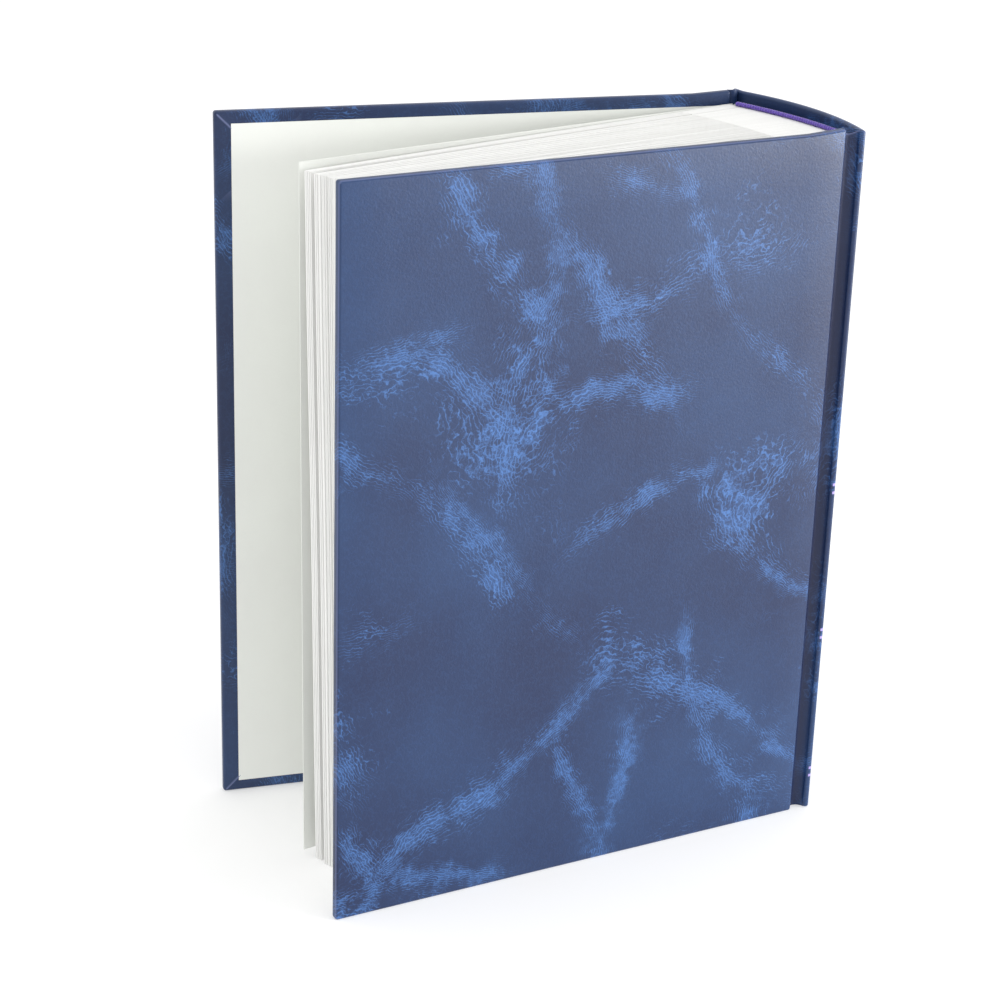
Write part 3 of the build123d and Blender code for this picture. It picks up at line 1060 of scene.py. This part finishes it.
def make_leaves(node, name, body, dice):
    """One group of leaves, cockled together, each a little out of line with the next."""
    size = sizes()
    piece = copy_node(node, name)
    edit(piece)
    cut_rows(0, spaced(LEAF_LOW.x, LEAF_HIGH.x, 9))
    cut_rows(2, spaced(LEAF_LOW.z, LEAF_HIGH.z, 9))
    finish_edit()
    tone = piece.data.attributes.new("leaf_tone", "FLOAT", "POINT")
    for island in leaf_islands(piece):
        points = [piece.data.vertices[i] for i in island]
        edge = min(points, key=lambda v: v.co.x).co
        shift = Vector((dice.uniform(-1, 1), 0, dice.uniform(0, 1))) * size.leaf_stray
        shift += fan_out(edge.y) * size.leaf_fan
        shade = 0.6 * dice.uniform(0.0, 0.9) ** 1.5
        for vertex in points:
            vertex.co += shift * ease((BLOCK_ROOT_X - vertex.co.x) / (90 * MM))
            tone.data[vertex.index].value = shade
    move_vertices(piece, lambda co: leaf_cockle(co, size.leaf_wave))
    finish_piece(piece, "leaf", node, body, angle=30)


def make_flyleaf(side):
    """The free half of an endpaper, with the slight curl of a single sheet."""
    size = sizes()
    node = f"{side}_flyleaf"
    low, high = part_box(node)
    piece = copy_node(node, f"{side}_free_endpaper")
    edit(piece)
    cut_rows(0, spaced(low.x, high.x, 14))
    cut_rows(2, spaced(low.z, high.z, 12))
    finish_edit()
    reach = high.x - low.x

    def curl(co):
        s = ease((high.x - co.x) / reach)
        t = (co.z - low.z) / (high.z - low.z)
        if side == "back":
            return Vector((0, 0.05 * MM * s * wander(co, 50, 1.0), 0))
        warp = 0.7 - 0.75 * t + 0.3 * math.sin(math.pi * t) + 0.2 * wander(co, 60, 4.0)
        return Vector((0, size.flyleaf_warp * s * warp, 0))

    move_vertices(piece, curl)
    finish_piece(piece, "endpaper", node, node, angle=30)


# The bands at head and tail


def make_band(node, name, up):
    """Silk wound over a core along the block's edge, with the tape that holds it behind."""
    size = sizes()
    low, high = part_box(node)
    bead_width, bead_height = 1.6 * MM, 1.4 * MM
    rim = high.z if up > 0 else low.z
    bead_z = rim - up * bead_height / 2
    outer = high.x - BLOCK.centre.x
    bead_radius = outer - bead_width / 2
    clear_selection()
    bpy.ops.mesh.primitive_uv_sphere_add(segments=10, ring_count=6, radius=0.5)
    turn = bpy.context.object
    turn.name = turn.data.name = name
    turn.scale = (bead_width, size.stitch_pitch * 1.25, bead_height)
    turn.rotation_euler = (math.radians(24 * up), 0, 0)
    settle(turn)
    first, last = BLOCK.low + 2.8 * MM / bead_radius, BLOCK.high - 3.0 * MM / bead_radius
    count = int((last - first) * bead_radius / size.stitch_pitch)
    turns = [turn]
    dice = random.Random(7 if up > 0 else 9)
    for index in range(count + 1):
        angle = first + (last - first) * (index + 0.5) / (count + 1)
        stitch = bpy.data.objects.new(f"{name}_turn", turn.data.copy())
        bpy.context.scene.collection.objects.link(stitch)
        spot = BLOCK.at(angle, bead_radius + dice.uniform(-0.04, 0.04) * MM, bead_z)
        stitch.matrix_world = Matrix.Translation(spot) @ Matrix.Rotation(angle, 4, "Z")
        settle(stitch)
        turns.append(stitch)
    tape_height = (high.z - low.z) - bead_height
    tape_z = rim - up * (bead_height + tape_height / 2)
    tape_mid = outer - 0.25 * MM
    start = BLOCK.at(first, tape_mid, tape_z)
    tape = begin_upright(f"{name}_tape", 0.44 * MM, tape_height, start, first)
    sweep(tape, (20, last - first, BLOCK.centre), axis=-1)
    take(turns[1])
    for piece in turns[2:] + [tape]:
        piece.select_set(True)
    bpy.ops.object.join()
    band = bpy.context.object
    bpy.data.objects.remove(turn)
    band.name = band.data.name = name
    finish_piece(band, "silk", node, "root", angle=50)


# What the panel lists


class ALBUM_OT_covers(bpy.types.Operator):
    """Cover both boards and paste down the endpapers"""

    bl_idname = "album.covers"
    bl_label = "Covers"

    def execute(self, context):
        for side in SIDES:
            make_board(side)
            make_cover_skin(side)
            make_pastedown(side)
        return {"FINISHED"}


class ALBUM_OT_joints(bpy.types.Operator):
    """Lay the cloth and the paper into both joints"""

    bl_idname = "album.joints"
    bl_label = "Joints"

    def execute(self, context):
        for side in SIDES:
            make_joint(side)
        return {"FINISHED"}


class ALBUM_OT_spine(bpy.types.Operator):
    """Cover the hollow back"""

    bl_idname = "album.spine"
    bl_label = "Spine"

    def execute(self, context):
        make_spine_skin()
        make_rules()
        return {"FINISHED"}


class ALBUM_OT_leaves(bpy.types.Operator):
    """Make the leaves of every section and the loose leaves in front"""

    bl_idname = "album.leaves"
    bl_label = "Leaves"

    def execute(self, context):
        dice = random.Random(11)
        for node in SECTIONS:
            make_leaves(node, f"{node}_leaves", "root", dice)
        make_leaves("loose_leaves", "front_leaves", "loose_leaves", dice)
        return {"FINISHED"}


class ALBUM_OT_flyleaves(bpy.types.Operator):
    """Make the free halves of both endpapers"""

    bl_idname = "album.flyleaves"
    bl_label = "Flyleaves"

    def execute(self, context):
        for side in SIDES:
            make_flyleaf(side)
        return {"FINISHED"}


class ALBUM_OT_bands(bpy.types.Operator):
    """Wind the silk bands at head and tail"""

    bl_idname = "album.bands"
    bl_label = "Bands"

    def execute(self, context):
        make_band("head_band", "head_band_silk", 1)
        make_band("tail_band", "tail_band_silk", -1)
        return {"FINISHED"}


class ALBUM_OT_finishes(bpy.types.Operator):
    """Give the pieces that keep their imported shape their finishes"""

    bl_idname = "album.finishes"
    bl_label = "Finishes"

    def execute(self, context):
        kept = {
            "spine_card": "board",
            "spine_lining": "kraft",
            "mull": "mull",
            "sewing_threads": "thread",
        }
        kept.update({node: "guard" for node in GUARDS})
        for node, name in kept.items():
            data = frame["nodes"][node].data
            data.materials.clear()
            data.materials.append(material(name))
        return {"FINISHED"}


class ALBUM_OT_stage(bpy.types.Operator):
    """Set the floor, the lights and the camera"""

    bl_idname = "album.stage"
    bl_label = "Stage"

    def execute(self, context):
        make_floor()
        make_lights()
        make_camera()
        return {"FINISHED"}


# The stage


def make_floor():
    """A pale seamless sweep, far wider than the view."""
    clear_selection()
    bpy.ops.mesh.primitive_plane_add(size=12, location=(0, 0, 0))
    floor = bpy.context.object
    floor.name = floor.data.name = "sweep"
    floor.data.materials.append(material("sweep"))


def make_light(name, place, target, width, height, power):
    """A softbox at a place, turned to what it lights."""
    data = bpy.data.lights.new(name, "AREA")
    data.shape = "RECTANGLE"
    data.size = width
    data.size_y = height
    data.energy = power
    light = bpy.data.objects.new(name, data)
    bpy.context.scene.collection.objects.link(light)
    light.location = place
    light.rotation_mode = "QUATERNION"
    light.rotation_quaternion = (Vector(place) - Vector(target)).to_track_quat("Z", "Y")


def make_lights():
    """An even white surround, a wide softbox above and one to the right, behind the spine."""
    world = bpy.data.worlds.new("studio")
    world.use_nodes = True
    world.node_tree.nodes["Background"].inputs["Color"].default_value = linear("#ffffff")
    world.node_tree.nodes["Background"].inputs["Strength"].default_value = 1.02
    bpy.context.scene.world = world
    middle = (0, 0, HEIGHT / 2)
    make_light("overhead_softbox", (-0.2, -0.1, 1.6), middle, 1.6, 1.6, 3)
    make_light("low_softbox", (1.12, -0.88, 0.26), middle, 0.75, 0.45, 22)


CAMERA_PLACE = Vector((-417.92, -570.40, 383.49)) * MM  # from the back cover's hinge edge
CAMERA_YAW = 28.25
CAMERA_PITCH = -21.63
CAMERA_ROLL = 1.795
CAMERA_LENS = 87.27


def make_camera():
    """The camera, low at the fore-edge side of the back cover."""
    data = bpy.data.cameras.new("camera")
    data.lens = CAMERA_LENS
    data.sensor_width = 36.0
    data.clip_start = 0.01
    data.clip_end = 50.0
    camera = bpy.data.objects.new("camera", data)
    bpy.context.scene.collection.objects.link(camera)
    turn = (
        Matrix.Rotation(math.radians(-CAMERA_YAW), 4, "Z")
        @ Matrix.Rotation(math.radians(90 + CAMERA_PITCH), 4, "X")
        @ Matrix.Rotation(math.radians(CAMERA_ROLL), 4, "Z")
    )
    camera.matrix_world = Matrix.Translation(PLAN_ORIGIN + CAMERA_PLACE) @ turn
    bpy.context.scene.camera = camera
    bpy.context.scene.view_settings.view_transform = "Standard"


class ALBUM_PT_panel(bpy.types.Panel):
    """Lists the album's pieces, sizes and colours"""

    bl_label = "Scrapbook album"
    bl_idname = "ALBUM_PT_panel"
    bl_space_type = "VIEW_3D"
    bl_region_type = "UI"
    bl_category = "Album"

    def draw(self, context):
        layout = self.layout
        for operator in OPERATORS:
            layout.operator(operator.bl_idname)
        for group in (context.scene.album_sizes, context.scene.album_colours):
            box = layout.box()
            for key in group.__annotations__:
                box.prop(group, key)


OPERATORS = (
    ALBUM_OT_stage,
    ALBUM_OT_covers,
    ALBUM_OT_joints,
    ALBUM_OT_spine,
    ALBUM_OT_leaves,
    ALBUM_OT_flyleaves,
    ALBUM_OT_bands,
    ALBUM_OT_finishes,
)
CLASSES = (AlbumSizes, AlbumColours, *OPERATORS, ALBUM_PT_panel)


def register():
    """Make the classes and the properties known."""
    for item in CLASSES:
        bpy.utils.register_class(item)
    bpy.types.Scene.album_sizes = bpy.props.PointerProperty(type=AlbumSizes)
    bpy.types.Scene.album_colours = bpy.props.PointerProperty(type=AlbumColours)


def unregister():
    """Take them back, last first."""
    del bpy.types.Scene.album_colours
    del bpy.types.Scene.album_sizes
    for item in reversed(CLASSES):
        bpy.utils.unregister_class(item)


def main():
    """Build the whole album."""
    register()
    for operator in OPERATORS:
        group, name = operator.bl_idname.split(".")
        getattr(getattr(bpy.ops, group), name)()


if __name__ == "__main__":
    main()
